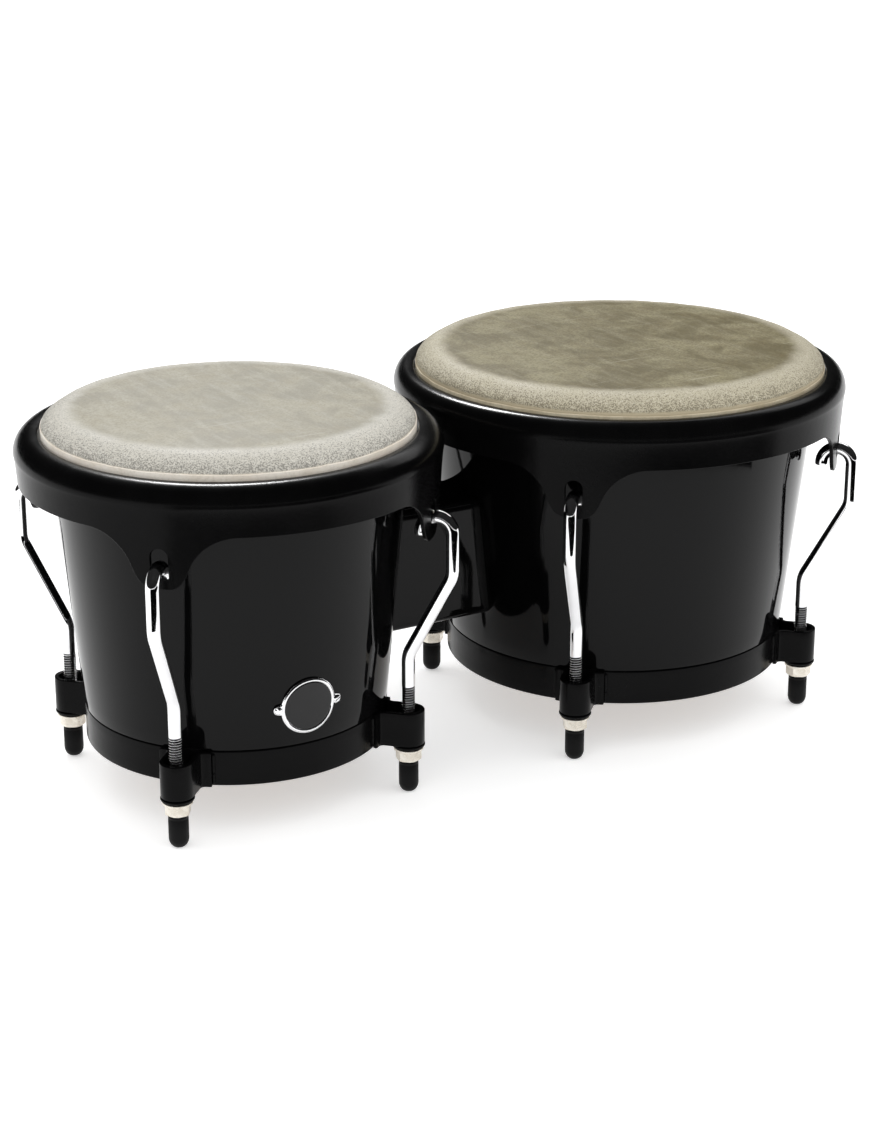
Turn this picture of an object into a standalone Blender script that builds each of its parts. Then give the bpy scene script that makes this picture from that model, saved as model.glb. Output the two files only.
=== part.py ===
"""A pair of bongo drums joined by a centre block, standing on their rubber foot tips.

Metres, +Z up. The origin is on the floor below the middle of the pair, and +X runs from the
small drum to the large one. Each drum hangs on an empty on its own axis, and the pieces that
the tuning nuts pull down hang on a second empty that slides along that axis.
"""

import math
from dataclasses import dataclass

import bmesh
import bpy
from mathutils import Vector

# ---- Driving dimensions -------------------------------------------------------------------

SPACING = 0.220  # between the two drum axes
GAP = 0.0003  # clearance between pieces that touch
SEGMENTS = 40  # sides of a turned drum piece
SMALL_SEGMENTS = 12  # sides of a turned fitting


@dataclass
class Drum:
    """The radii that differ between the two drums."""

    name: str
    head: float  # shell at the bearing edge
    foot: float  # shell just above the bottom ring
    rods: float  # circle of the four threaded rods
    rim: float  # widest circle of the rim
    side: int  # +1 when the block is on the drum's +X side, -1 when on its -X side


SMALL = Drum("small", head=0.0855, foot=0.0728, rods=0.0860, rim=0.1004, side=1)
LARGE = Drum("large", head=0.1013, foot=0.0868, rods=0.0982, rim=0.1144, side=-1)

# Heights above the floor, shared by both drums
TIP_TOP = 0.0163
NUT_HEIGHT = 0.0063
CUP_HEIGHT = 0.0017
RING_HEIGHT = 0.0172
BEND_LOW_Z = 0.0700
BEND_HIGH_Z = 0.1110
TAB_Z = 0.1285  # lowest point of a rim tab
ARCH_Z = 0.1322  # centre of the hook's arch
SKIRT_Z = 0.1540  # rim edge between the tabs
RIM_WIDEST_Z = 0.1680
LIP_Z = 0.1770
SHOULDER_Z = 0.1795  # where the side of the head starts to curve in
BEARING_Z = 0.1849

NUT_Z = TIP_TOP + GAP
CUP_Z = NUT_Z + NUT_HEIGHT + GAP
RING_Z = CUP_Z + CUP_HEIGHT + GAP
RING_TOP = RING_Z + RING_HEIGHT

# Shell
WALL = 0.011
SHOULDER = 0.0105  # from the shell's side in to the crest of its bearing edge
INNER_DROP = 0.0090

# Bottom ring, a steel band with a flange under the shell, and its looped ears
RING_PLATE = 0.0016
FLANGE = 0.0095
EAR_INSIDE = 0.0056
EAR_PLATE = 0.0022
EAR_STEPS = 6

# Head, flesh hoop and rim
SKIN = 0.0018
SKIN_DEPTH = 0.0148
HOOP_WIRE = 0.0026
HOOP_SIDES = 6
LIP_CLEARANCE = 0.0008
LIP_FLAT = 0.0030
RIM_PLATE = 0.0020
SKIRT_TAPER = 0.0024
TAB_REACH = 0.0300  # along the rim from a tab's middle to where its curve ends
TAB_FLAT = 0.0070
TAB_POWER = 3.6
TAB_STEPS = 12
SPAN_STEPS = 6
SLOT_WIDTH = 0.0084
SLOT_TOP_Z = 0.1482

# Tension hooks, quarter-inch rod
ROD = 0.003175
HOOK_OFFSET = 0.0216
ARCH = 0.0076
SHORT_LEG = 0.0015
BEND = 0.014
BEND_STEPS = 3
ARCH_STEPS = 6
ROD_END_Z = 0.0035

# Nuts, cup washers and foot tips
NUT_FLATS = 0.0111
NUT_FLANGE = 0.0072
NUT_FLANGE_PLATE = 0.0012
THREAD_BORE = 0.0035
CUP_RADIUS = 0.0080
TIP_RADIUS = 0.00475
TIP_BORE = ROD + GAP

# Centre block with its bolts
BLOCK_WIDTH = 0.036
BLOCK_HEIGHT = 0.0615
BLOCK_Z = 0.0942
BLOCK_EDGE = 0.0025
BOLT_SPREAD = 0.029
BOLT = 0.0030
BOLT_BORE = 0.0033
BOLT_FLATS = 0.0100
BOLT_HEAD = 0.0042
BOLT_REACH = 0.030
BOLT_FLANGE = 0.0070
BOLT_FLANGE_PLATE = 0.0014
SPOT_FACE = 0.0085
SPOT_DEPTH = 0.0012

# Badge on the small shell
BADGE_Z = 0.0620
BADGE_ANGLE = math.radians(270)
BADGE_RADIUS = 0.0125
BADGE_PLATE = 0.0010
BADGE_SIDES = 32
LUG_REACH = 0.0147
LUG_RADIUS = 0.0032
PIN_HEAD = 0.0024
PIN_HEAD_HEIGHT = 0.0012
PIN = 0.0009
PIN_BORE = 0.0012
PIN_LENGTH = 0.0075

ROD_ANGLES = [math.radians(45 + 90 * step) for step in range(4)]

# ---- Materials ----------------------------------------------------------------------------


def finish(name, colour, roughness, metallic=0.0):
    """A plain Principled material."""
    made = bpy.data.materials.new(name)
    made.use_nodes = True
    shader = made.node_tree.nodes["Principled BSDF"]
    shader.inputs["Base Color"].default_value = (*colour, 1.0)
    shader.inputs["Roughness"].default_value = roughness
    shader.inputs["Metallic"].default_value = metallic
    made.diffuse_color = (*colour, 1.0)
    return made


def finishes():
    return {
        "lacquer": finish("black_lacquer", (0.006, 0.006, 0.007), 0.08),
        "paint": finish("black_paint", (0.010, 0.010, 0.011), 0.25),
        "chrome": finish("chrome", (0.75, 0.75, 0.76), 0.08, 1.0),
        "nickel": finish("nickel", (0.55, 0.50, 0.42), 0.28, 1.0),
        "zinc": finish("zinc", (0.45, 0.46, 0.48), 0.40, 1.0),
        "rubber": finish("rubber", (0.012, 0.012, 0.012), 0.75),
        "light_skin": finish("light_skin", (0.56, 0.52, 0.44), 0.60),
        "dark_skin": finish("dark_skin", (0.36, 0.31, 0.22), 0.60),
    }


# ---- Mesh helpers -------------------------------------------------------------------------


def circle(radius, z, sides=SEGMENTS, phase=0.0):
    turns = [2 * math.pi * (step + phase) / sides for step in range(sides)]
    return [Vector((radius * math.cos(turn), radius * math.sin(turn), z)) for turn in turns]


def turned(profile, sides=SEGMENTS, phase=0.0):
    """One ring of points for each (radius, height) of a turned profile."""
    return [circle(radius, z, sides, phase) for radius, z in profile]


def hexagon(flats, z):
    """A hexagon with a point in the middle of each side, so it bridges to a 12-sided circle."""
    corner = flats / 2 / math.cos(math.radians(30))
    points = circle(1.0, 0.0, SMALL_SEGMENTS)
    reach = [corner if step % 2 == 0 else flats / 2 for step in range(SMALL_SEGMENTS)]
    return [Vector((p.x * r, p.y * r, z)) for p, r in zip(points, reach)]


def bridged(rings, closed):
    """A mesh that joins each ring to the next, then joins the last to the first or caps both."""
    shape = bmesh.new()
    rows = [[shape.verts.new(point) for point in ring] for ring in rings]
    following = rows[1:] + rows[:1] if closed else rows[1:]
    for row, other in zip(rows, following):
        for here in range(len(row)):
            there = (here + 1) % len(row)
            shape.faces.new((row[here], row[there], other[there], other[here]))
    if not closed:
        shape.faces.new(rows[0])
        shape.faces.new(rows[-1])
    bmesh.ops.recalc_face_normals(shape, faces=shape.faces)
    return shape


def place(obj, parent=None, location=(0, 0, 0), rotation=(0, 0, 0)):
    bpy.context.scene.collection.objects.link(obj)
    obj.parent = parent
    obj.location = location
    obj.rotation_euler = rotation
    return obj


def solid(name, shape, look=None, **where):
    """An object from a finished bmesh."""
    mesh = bpy.data.meshes.new(name)
    shape.to_mesh(mesh)
    shape.free()
    mesh.shade_smooth()
    mesh.set_sharp_from_angle(angle=math.radians(35))
    if look:
        mesh.materials.append(look)
    return place(bpy.data.objects.new(name, mesh), **where)


def helper(name, shape, **where):
    """A solid that only cuts or joins others, and isn't part of the object."""
    made = solid(name, shape, **where)
    made.hide_render = True
    made.display_type = "WIRE"
    return made


def combine(obj, other, operation):
    step = obj.modifiers.new(other.name, "BOOLEAN")
    step.operation = operation
    step.solver = "EXACT"
    step.object = other


def anchor(name, **where):
    return place(bpy.data.objects.new(name, None), **where)


# ---- Shared geometry ----------------------------------------------------------------------


def shell_radius(drum, z):
    """Outside of the straight tapered wall."""
    share = (z - RING_TOP) / (SHOULDER_Z - RING_TOP)
    return drum.foot + (drum.head - drum.foot) * share


def skin_radius(drum):
    return drum.head + GAP + SKIN


def shoulder(drum, offset, steps=4):
    """Quarter ellipse from the side up to the flat top, offset out from the shell's own."""
    centre = drum.head - SHOULDER
    width = SHOULDER + offset
    height = BEARING_Z - SHOULDER_Z + offset
    turns = [math.radians(90 * step / steps) for step in range(steps + 1)]
    return [(centre + width * math.cos(t), SHOULDER_Z + height * math.sin(t)) for t in turns]


def rim_face(drum, z):
    """Outside of the rim's skirt, which tapers inward from its widest circle to the tab ends."""
    share = (RIM_WIDEST_Z - z) / (RIM_WIDEST_Z - TAB_Z)
    return drum.rim - SKIRT_TAPER * math.sqrt(max(share, 0.0))


def slot_bottom(drum):
    """Height of the slot's lower edge, on which the inside of the hook's arch bears."""
    sideways = drum.rods + HOOK_OFFSET - ARCH - (rim_face(drum, TAB_Z) - RIM_PLATE)
    inside = ARCH - ROD
    return ARCH_Z + math.sqrt(inside**2 - sideways**2) - GAP


def along_x(distance, z, side, origin=0.0):
    """Placement whose local +Z points from a drum's axis towards the block."""
    return {"location": (origin + side * distance, 0, z), "rotation": (0, side * math.pi / 2, 0)}


def bolt_heights():
    return [BLOCK_Z + BOLT_SPREAD * share for share in (-0.5, 0.5)]


def seat(drum, z):
    """Distance from the drum's axis to the flat seat of a bolt's flange."""
    return shell_radius(drum, z) - WALL + SPOT_DEPTH


# ---- Shell --------------------------------------------------------------------------------


def make_shell(drum, look, axis):
    bottom = RING_Z + RING_PLATE + GAP
    rabbet = drum.foot - RING_PLATE - GAP
    rabbet_top = RING_TOP + GAP
    inner_top = BEARING_Z - INNER_DROP
    profile = [
        (shell_radius(drum, bottom) - WALL, bottom),
        (rabbet, bottom),
        (rabbet, rabbet_top),
        (shell_radius(drum, rabbet_top), rabbet_top),
        *shoulder(drum, 0.0),
        (drum.head - SHOULDER - 0.0025, BEARING_Z - 0.0022),
        (shell_radius(drum, inner_top) - WALL, inner_top),
    ]
    shell = solid(f"{drum.name}_shell", bridged(turned(profile), True), look, parent=axis)
    for number, z in enumerate(bolt_heights(), 1):
        stepped = [(SPOT_FACE, -WALL), (SPOT_FACE, 0.0), (BOLT_BORE, 0.0), (BOLT_BORE, WALL * 2)]
        cutter = helper(
            f"{drum.name}_spot_face_{number}",
            bridged(turned(stepped, SMALL_SEGMENTS, phase=0.5), False),
            parent=axis,
            **along_x(seat(drum, z), z, drum.side),
        )
        combine(shell, cutter, "DIFFERENCE")
    return shell


# ---- Bottom ring and its ears -------------------------------------------------------------


def make_ring(drum, look, axis):
    """L-shaped band round the foot of the shell."""
    inside = drum.foot - RING_PLATE
    flange = drum.foot - FLANGE
    profile = [
        (flange, RING_Z),
        (drum.foot, RING_Z),
        (drum.foot, RING_TOP),
        (inside, RING_TOP),
        (inside, RING_Z + RING_PLATE),
        (flange, RING_Z + RING_PLATE),
    ]
    solid(f"{drum.name}_bottom_ring", bridged(turned(profile), True), look, parent=axis)


def make_ear(drum, number, angle, look, axis):
    """A flat strap that leaves the ring, loops round the rod and comes back to the ring."""
    root = Vector((drum.foot, 0, RING_Z))
    loop = Vector((drum.rods, 0, RING_Z))
    turns = [math.pi * (step / EAR_STEPS - 0.5) for step in range(EAR_STEPS + 1)]
    stations = [(root, turns[0]), *((loop, turn) for turn in turns), (root, turns[-1])]
    rise = Vector((0, 0, RING_HEIGHT))
    rings = []
    for centre, turn in stations:
        outward = Vector((math.cos(turn), math.sin(turn), 0))
        inside = centre + outward * EAR_INSIDE
        outside = centre + outward * (EAR_INSIDE + EAR_PLATE)
        rings.append([inside, outside, outside + rise, inside + rise])
    name = f"{drum.name}_ear_{number}"
    solid(name, bridged(rings, False), look, parent=axis, rotation=(0, 0, angle))


# ---- Head, flesh hoop and rim -------------------------------------------------------------


def make_head(drum, look, axis):
    top = BEARING_Z + GAP + SKIN
    low = top - SKIN_DEPTH
    profile = [
        *reversed(shoulder(drum, GAP + SKIN)),
        (skin_radius(drum), low),
        (drum.head + GAP, low),
        *shoulder(drum, GAP),
    ]
    return solid(f"{drum.name}_head", bridged(turned(profile), False), look, parent=axis)


def make_hoop(drum, look, slide):
    """Wire hoop just under the rim's lip."""
    middle = skin_radius(drum) + GAP + HOOP_WIRE
    height = LIP_Z - RIM_PLATE - GAP - HOOP_WIRE
    turns = [2 * math.pi * (step + 0.5) / HOOP_SIDES for step in range(HOOP_SIDES)]
    profile = [
        (middle + HOOP_WIRE * math.cos(turn), height + HOOP_WIRE * math.sin(turn))
        for turn in turns
    ]
    shape = bridged(turned(profile), True)
    return solid(f"{drum.name}_flesh_hoop", shape, look, parent=slide)


def rim_turns(drum):
    """Angles of the rim's columns, closer together over the four tabs."""
    reach = TAB_REACH / drum.rim
    span = math.pi / 2 - 2 * reach
    turns = []
    for middle in ROD_ANGLES:
        turns += [middle + reach * (2 * step / TAB_STEPS - 1) for step in range(TAB_STEPS)]
        turns += [middle + reach + span * step / SPAN_STEPS for step in range(SPAN_STEPS)]
    return turns


def rim_edge(drum, turn):
    """Height of the rim's lower edge: level, with a smooth tongue over each rod."""
    away = min(abs(math.remainder(turn - middle, 2 * math.pi)) for middle in ROD_ANGLES)
    share = (away * drum.rim - TAB_FLAT) / (TAB_REACH - TAB_FLAT)
    share = min(max(share, 0.0), 1.0)
    return SKIRT_Z - (SKIRT_Z - TAB_Z) * math.cos(share * math.pi / 2) ** TAB_POWER


def rim_ring(drum, turns, radius, z):
    """One row of the rim. Without a height, the row follows the lower edge."""
    row = []
    for turn in turns:
        height = rim_edge(drum, turn) if z is None else z
        reach = rim_face(drum, height) + radius if z is None else radius
        row.append(Vector((reach * math.cos(turn), reach * math.sin(turn), height)))
    return row


def rim_shoulder(drum, inset):
    """Quarter curve from the flat lip to the widest circle, moved in by the plate thickness."""
    start = skin_radius(drum) + LIP_CLEARANCE + LIP_FLAT
    width = drum.rim - start - inset
    height = LIP_Z - RIM_WIDEST_Z - inset
    turns = [math.radians(90 - 30 * step) for step in range(4)]
    return [
        (start + width * math.cos(turn), RIM_WIDEST_Z + height * math.sin(turn))
        for turn in turns
    ]


def slot_cutter_rings(drum):
    """A slot with a round top, along local +Z, from inside the tab to outside it."""
    low = slot_bottom(drum)
    half = SLOT_WIDTH / 2
    arch = SLOT_TOP_Z - half
    outline = [(-half, low), (half, low)]
    outline += [
        (half * math.cos(turn), arch + half * math.sin(turn))
        for turn in (math.pi * step / 5 for step in range(6))
    ]
    face = rim_face(drum, low)
    reaches = (face - RIM_PLATE * 3, face + RIM_PLATE * 3)
    return [[Vector((reach, y, z)) for y, z in outline] for reach in reaches]


def make_rim(drum, look, slide):
    turns = rim_turns(drum)
    lip = skin_radius(drum) + LIP_CLEARANCE
    waist_z = SKIRT_Z + 0.0010
    waist = rim_face(drum, waist_z)
    rows = [(lip, LIP_Z)]
    rows += rim_shoulder(drum, 0.0)
    rows += [(waist, waist_z), (0.0, None), (-RIM_PLATE, None), (waist - RIM_PLATE, waist_z)]
    rows += reversed(rim_shoulder(drum, RIM_PLATE))
    rows += [(lip, LIP_Z - RIM_PLATE)]
    rings = [rim_ring(drum, turns, radius, z) for radius, z in rows]
    rim = solid(f"{drum.name}_rim", bridged(rings, True), look, parent=slide)
    for number, angle in enumerate(ROD_ANGLES, 1):
        cutter = helper(
            f"{drum.name}_slot_{number}",
            bridged(slot_cutter_rings(drum), False),
            parent=slide,
            rotation=(0, 0, angle),
        )
        combine(rim, cutter, "DIFFERENCE")
    return rim


# ---- Hooks --------------------------------------------------------------------------------


def rounded_corner(before, corner, after):
    """Points of the arc that rounds one corner of a bent rod."""
    back = (before - corner).normalized()
    ahead = (after - corner).normalized()
    half = back.angle(ahead) / 2
    centre = corner + (back + ahead).normalized() * (BEND / math.sin(half))
    start = (corner + back * (BEND / math.tan(half)) - centre).normalized()
    end = (corner + ahead * (BEND / math.tan(half)) - centre).normalized()
    shares = [step / BEND_STEPS for step in range(BEND_STEPS + 1)]
    return [centre + start.slerp(end, share) * BEND for share in shares]


def hook_route(drum):
    """Centreline from the rod's lower end to the hook's short leg, +X away from the drum."""
    outer = drum.rods + HOOK_OFFSET
    foot = Vector((drum.rods, 0, ROD_END_Z))
    low = Vector((drum.rods, 0, BEND_LOW_Z))
    high = Vector((outer, 0, BEND_HIGH_Z))
    top = Vector((outer, 0, ARCH_Z))
    centre = Vector((outer - ARCH, 0, ARCH_Z))
    turns = [math.pi * step / ARCH_STEPS for step in range(ARCH_STEPS + 1)]
    arch = [centre + ARCH * Vector((math.cos(turn), 0, math.sin(turn))) for turn in turns]
    end = arch[-1] - Vector((0, 0, SHORT_LEG))
    bends = rounded_corner(foot, low, high) + rounded_corner(low, high, top)
    return [foot, *bends, *arch, end]


def make_hook(drum, number, angle, look, slide):
    name = f"{drum.name}_hook_{number}"
    curve = bpy.data.curves.new(name, "CURVE")
    curve.dimensions = "3D"
    curve.bevel_depth = ROD
    curve.bevel_resolution = 2
    curve.use_fill_caps = True
    route = hook_route(drum)
    spline = curve.splines.new("POLY")
    spline.points.add(len(route) - 1)
    for point, spot in zip(spline.points, route):
        point.co = (*spot, 1.0)
    spline.use_smooth = True
    curve.materials.append(look)
    return place(bpy.data.objects.new(name, curve), parent=slide, rotation=(0, 0, angle))


# ---- Nuts, cup washers and foot tips ------------------------------------------------------


def make_nut(name, look, **where):
    """Hexagon nut with a flange on top, its origin on the rod's axis at its lower face."""
    flange_low = NUT_HEIGHT - NUT_FLANGE_PLATE
    flange = [circle(NUT_FLANGE, z, SMALL_SEGMENTS) for z in (flange_low, NUT_HEIGHT)]
    bore = [circle(THREAD_BORE, z, SMALL_SEGMENTS) for z in (NUT_HEIGHT, 0.0)]
    rings = [hexagon(NUT_FLATS, 0.0), hexagon(NUT_FLATS, flange_low), *flange, *bore]
    return solid(name, bridged(rings, True), look, **where)


def make_cup_washer(name, look, **where):
    """Dished washer between an ear and its nut."""
    profile = [
        (THREAD_BORE, 0.0),
        (CUP_RADIUS - 0.0012, 0.0),
        (CUP_RADIUS, CUP_HEIGHT * 0.5),
        (CUP_RADIUS, CUP_HEIGHT),
        (THREAD_BORE, CUP_HEIGHT),
    ]
    return solid(name, bridged(turned(profile, SMALL_SEGMENTS), True), look, **where)


def make_tip(name, look, **where):
    """Rubber cap over the rod's end, with a small flat to stand on."""
    profile = [
        (TIP_RADIUS * 0.38, 0.0),
        (TIP_RADIUS * 0.74, 0.0009),
        (TIP_RADIUS * 0.94, 0.0026),
        (TIP_RADIUS, 0.0048),
        (TIP_RADIUS, TIP_TOP),
        (TIP_BORE, TIP_TOP),
        (TIP_BORE, ROD_END_Z - GAP),
    ]
    return solid(name, bridged(turned(profile, SMALL_SEGMENTS), False), look, **where)


# ---- Centre block and its bolts -----------------------------------------------------------


def shell_cutter(drum, axis):
    """The space that a shell takes from the block."""
    ends = [BLOCK_Z - BLOCK_HEIGHT, BLOCK_Z + BLOCK_HEIGHT]
    rings = turned([(shell_radius(drum, z) + GAP, z) for z in ends], SEGMENTS * 2)
    return helper(f"{drum.name}_block_cutter", bridged(rings, False), parent=axis)


def make_block(look, axes):
    starts = [
        drum.side * (drum.foot - BLOCK_EDGE) + axis.location.x for drum, axis in axes
    ]
    shape = bmesh.new()
    bmesh.ops.create_cube(shape, size=1.0)
    size = Vector((starts[1] - starts[0], BLOCK_WIDTH, BLOCK_HEIGHT))
    bmesh.ops.scale(shape, vec=size, verts=shape.verts)
    middle = (sum(starts) / 2, 0, BLOCK_Z)
    block = solid("centre_block", shape, look, location=middle)
    edge = block.modifiers.new("rounded_edges", "BEVEL")
    edge.width = BLOCK_EDGE
    edge.segments = 2
    for drum, axis in axes:
        combine(block, shell_cutter(drum, axis), "DIFFERENCE")
        for number, z in enumerate(bolt_heights(), 1):
            ends = [(BOLT_BORE, 0.0), (BOLT_BORE, BOLT_REACH + GAP)]
            cutter = helper(
                f"{drum.name}_block_bore_{number}",
                bridged(turned(ends, SMALL_SEGMENTS), False),
                parent=axis,
                **along_x(seat(drum, z), z, drum.side),
            )
            combine(block, cutter, "DIFFERENCE")
    return block


def make_bolts(drum, look, axis):
    """Two hexagon bolts with a flange under the head, from inside the shell into the block."""
    flange_low = -GAP - BOLT_FLANGE_PLATE
    rings = [
        hexagon(BOLT_FLATS, flange_low - BOLT_HEAD),
        hexagon(BOLT_FLATS, flange_low),
        circle(BOLT_FLANGE, flange_low, SMALL_SEGMENTS),
        circle(BOLT_FLANGE, -GAP, SMALL_SEGMENTS),
        circle(BOLT, -GAP, SMALL_SEGMENTS),
        circle(BOLT, BOLT_REACH, SMALL_SEGMENTS),
    ]
    for number, z in enumerate(bolt_heights(), 1):
        name = f"{drum.name}_block_bolt_{number}"
        where = along_x(seat(drum, z), z, drum.side)
        solid(name, bridged(rings, False), look, parent=axis, **where)


# ---- Badge --------------------------------------------------------------------------------


def badge_reach(turn):
    """Radius of the badge's outline: a disc with a round-ended lug on each side."""
    across = abs(math.sin(turn))
    along = abs(math.cos(turn)) * LUG_REACH
    side = LUG_REACH * across
    lug = along + math.sqrt(LUG_RADIUS**2 - side**2) if side < LUG_RADIUS else 0.0
    return max(BADGE_RADIUS, lug)


def on_wall(drum, sideways, up, lift):
    """A point at the badge's place, measured along the shell's wall and out from it."""
    z = BADGE_Z + up
    turn = BADGE_ANGLE + sideways / shell_radius(drum, z)
    reach = shell_radius(drum, z) + lift
    return Vector((reach * math.cos(turn), reach * math.sin(turn), z))


def badge_ring(drum, share, lift):
    turns = [2 * math.pi * step / BADGE_SIDES for step in range(BADGE_SIDES)]
    return [
        on_wall(
            drum,
            badge_reach(turn) * share * math.cos(turn),
            badge_reach(turn) * share * math.sin(turn),
            lift,
        )
        for turn in turns
    ]


def pin_place(drum, side):
    """Placement of a badge pin, its local +Z pointing out of the wall."""
    spot = on_wall(drum, side * LUG_REACH, 0.0, GAP + BADGE_PLATE)
    turn = math.atan2(spot.y, spot.x)
    return {"location": spot, "rotation": (math.pi / 2, 0, turn + math.pi / 2)}


def make_badge(drum, look, axis, shell):
    shares = (0.25, 0.62, 1.0)
    rings = [badge_ring(drum, share, GAP) for share in shares]
    rings += [badge_ring(drum, share, GAP + BADGE_PLATE) for share in reversed(shares)]
    badge = solid("badge", bridged(rings, False), look, parent=axis)
    for number, side in enumerate((-1, 1), 1):
        where = pin_place(drum, side)
        pin = [
            (PIN_HEAD * 0.5, GAP + PIN_HEAD_HEIGHT),
            (PIN_HEAD, GAP + PIN_HEAD_HEIGHT * 0.4),
            (PIN_HEAD, GAP),
            (PIN, GAP),
            (PIN, -PIN_LENGTH),
        ]
        shape = bridged(turned(pin, SMALL_SEGMENTS), False)
        solid(f"badge_pin_{number}", shape, look, parent=axis, **where)
        bore = [(PIN_BORE, BADGE_PLATE * 2), (PIN_BORE, -PIN_LENGTH - GAP)]
        shape = bridged(turned(bore, SMALL_SEGMENTS), False)
        cutter = helper(f"badge_bore_{number}", shape, parent=axis, **where)
        combine(badge, cutter, "DIFFERENCE")
        combine(shell, cutter, "DIFFERENCE")


# ---- Assembly -----------------------------------------------------------------------------


def make_drum(drum, looks, axis):
    slide = anchor(f"{drum.name}_tension", parent=axis)
    skin = looks["light_skin" if drum is SMALL else "dark_skin"]
    shell = make_shell(drum, looks["lacquer"], axis)
    make_ring(drum, looks["paint"], axis)
    make_head(drum, skin, axis)
    make_hoop(drum, looks["zinc"], slide)
    make_rim(drum, looks["paint"], slide)
    make_bolts(drum, looks["zinc"], axis)
    for number, angle in enumerate(ROD_ANGLES, 1):
        make_ear(drum, number, angle, looks["paint"], axis)
        make_hook(drum, number, angle, looks["chrome"], slide)
        x = drum.rods * math.cos(angle)
        y = drum.rods * math.sin(angle)
        cup, nut, tip = (
            f"{drum.name}_{piece}_{number}" for piece in ("cup_washer", "nut", "foot_tip")
        )
        make_cup_washer(cup, looks["paint"], parent=axis, location=(x, y, CUP_Z))
        make_nut(nut, looks["nickel"], parent=axis, location=(x, y, NUT_Z))
        make_tip(tip, looks["rubber"], parent=slide, location=(x, y, 0))
    return shell


def main():
    for item in list(bpy.data.objects):
        bpy.data.objects.remove(item, do_unlink=True)
    looks = finishes()
    small_x = -(SPACING + LARGE.rim - SMALL.rim) / 2
    small_axis = anchor("small_drum", location=(small_x, 0, 0))
    large_axis = anchor("large_drum", location=(small_x + SPACING, 0, 0))
    small_shell = make_drum(SMALL, looks, small_axis)
    make_drum(LARGE, looks, large_axis)
    make_block(looks["lacquer"], [(SMALL, small_axis), (LARGE, large_axis)])
    make_badge(SMALL, looks["chrome"], small_axis, small_shell)


main()
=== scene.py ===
"""Looks for a pair of bongo drums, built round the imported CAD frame.

Metres, +Z up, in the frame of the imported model. A drum's pieces are made round the drum's own
axis, and those that turn or stand on a rod round the rod's. Then each is moved into place.
"""

from dataclasses import dataclass
from math import atan2, ceil, cos, degrees, hypot, pi, radians, remainder, sin, sqrt, tan, tau

import bmesh
import bpy
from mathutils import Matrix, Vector, noise


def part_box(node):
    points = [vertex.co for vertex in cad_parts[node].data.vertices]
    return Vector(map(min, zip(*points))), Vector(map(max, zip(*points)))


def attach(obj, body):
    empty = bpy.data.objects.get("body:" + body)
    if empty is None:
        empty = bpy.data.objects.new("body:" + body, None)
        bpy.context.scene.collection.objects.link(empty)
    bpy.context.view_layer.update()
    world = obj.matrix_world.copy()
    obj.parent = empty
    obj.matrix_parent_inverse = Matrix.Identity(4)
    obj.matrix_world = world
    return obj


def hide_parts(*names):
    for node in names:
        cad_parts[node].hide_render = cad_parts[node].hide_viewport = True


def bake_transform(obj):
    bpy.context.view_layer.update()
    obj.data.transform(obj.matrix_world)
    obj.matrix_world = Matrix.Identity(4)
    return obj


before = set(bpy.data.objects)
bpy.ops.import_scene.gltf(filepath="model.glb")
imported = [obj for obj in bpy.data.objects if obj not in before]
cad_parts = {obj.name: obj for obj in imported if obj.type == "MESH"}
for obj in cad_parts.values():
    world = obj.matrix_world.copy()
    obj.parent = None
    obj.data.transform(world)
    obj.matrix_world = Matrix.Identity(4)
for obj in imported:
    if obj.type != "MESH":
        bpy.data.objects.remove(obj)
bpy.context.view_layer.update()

# ---- Dimensions of the frame ----

GAP = 0.0003


@dataclass
class Drum:
    """Radii of one drum, which way its centre block lies, and what differs in its looks."""

    name: str
    head: float
    foot: float
    rods: float
    rim: float
    side: int
    skin: str
    collar_z: float
    seed: float
    nut_turn: float

    def __post_init__(self):
        low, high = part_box(f"{self.name}_rim")
        self.x = (low.x + high.x) / 2
        self.axis = (self.x, 0, 0)


SMALL = Drum(
    name="small", head=0.0855, foot=0.0728, rods=0.0860, rim=0.1004, side=1, skin="light_skin",
    collar_z=0.1797, seed=3.7, nut_turn=17.0,
)
LARGE = Drum(
    name="large", head=0.1013, foot=0.0868, rods=0.0982, rim=0.1144, side=-1, skin="dark_skin",
    collar_z=0.1783, seed=11.3, nut_turn=26.0,
)
DRUMS = (SMALL, LARGE)
ROD_ANGLES = [radians(45 + 90 * step) for step in range(4)]

# What is stacked round each rod, from the floor up.
TIP_RADIUS = 0.00475
TIP_TOP = 0.0163
NUT_Z = TIP_TOP + GAP
NUT_HEIGHT = 0.0063
NUT_FLATS = 0.0111
NUT_FLANGE = 0.0072
NUT_STEP = 23.0  # degrees by which each nut is turned further than the one before
CUP_Z = NUT_Z + NUT_HEIGHT + GAP
CUP_HEIGHT = 0.0017
CUP_RADIUS = 0.0080
RING_Z = CUP_Z + CUP_HEIGHT + GAP
RING_TOP = 0.0424
RING_PLATE = 0.0016
FLANGE = 0.0095
EAR_INSIDE = 0.0056
EAR_PLATE = 0.0022

# Shell and head.
SHELL_LOW = RING_Z + RING_PLATE + GAP
WALL = 0.011
INNER_DROP = 0.0090
SHOULDER = 0.0105
SHOULDER_Z = 0.1795
BEARING_Z = 0.1849
HEAD_Z = 0.1870
HIDE = 0.0013
SKIN = 0.0018
SKIN_DEPTH = 0.0148
COLLAR_LOW_Z = 0.1735
HOOP_WIRE = 0.0026

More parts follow.
